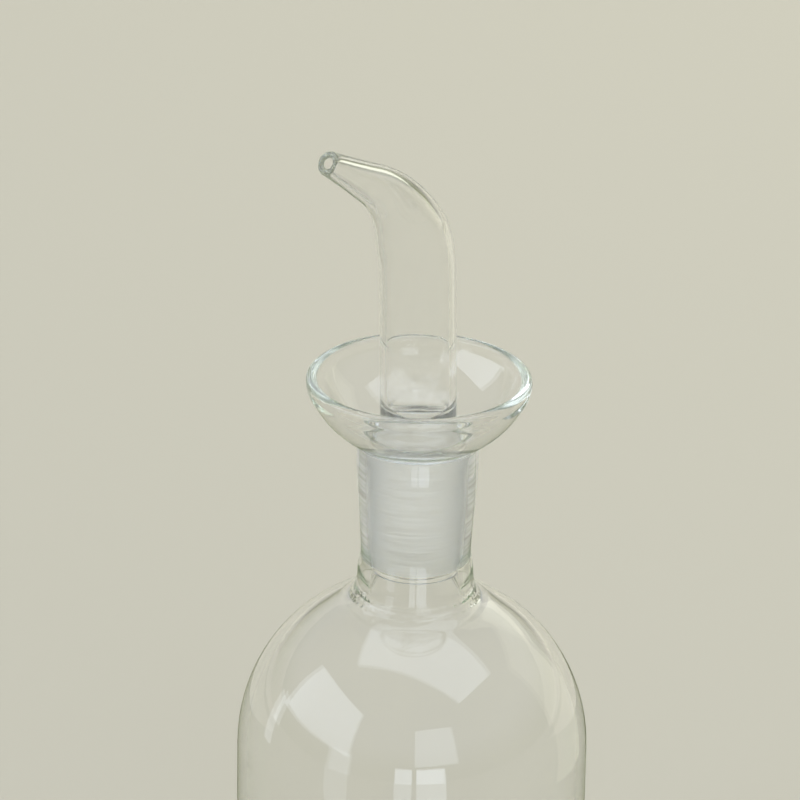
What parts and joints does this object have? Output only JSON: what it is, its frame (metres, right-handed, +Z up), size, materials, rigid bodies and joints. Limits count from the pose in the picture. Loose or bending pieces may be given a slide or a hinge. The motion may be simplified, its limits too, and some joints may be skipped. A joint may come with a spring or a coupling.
{
  "type": "oil and vinegar cruet",
  "caption": "Clear glass oil and vinegar bottle with a domed shoulder, a ground neck under an open drip cup, and a bent hollow glass pourer seated in the neck.",
  "frame": {"origin": "on the bottle's axis, at the flat ring that it stands on", "axes": "+Z up along the bottle's axis, -X the way the spout points"},
  "size_m": [0.08, 0.08, 0.2322],
  "materials": {
    "bottle_glass": "clear blown borosilicate glass, fire-polished rim, with a fine-ground frosted socket inside the neck",
    "pourer_glass": "clear drawn borosilicate glass tube with a fire-polished mouth and a fine-ground frosted cone"
  },
  "bodies": {
    "root": {"bottle": "bottle_glass", "pourer": "pourer_glass"}
  },
  "joints": []
}
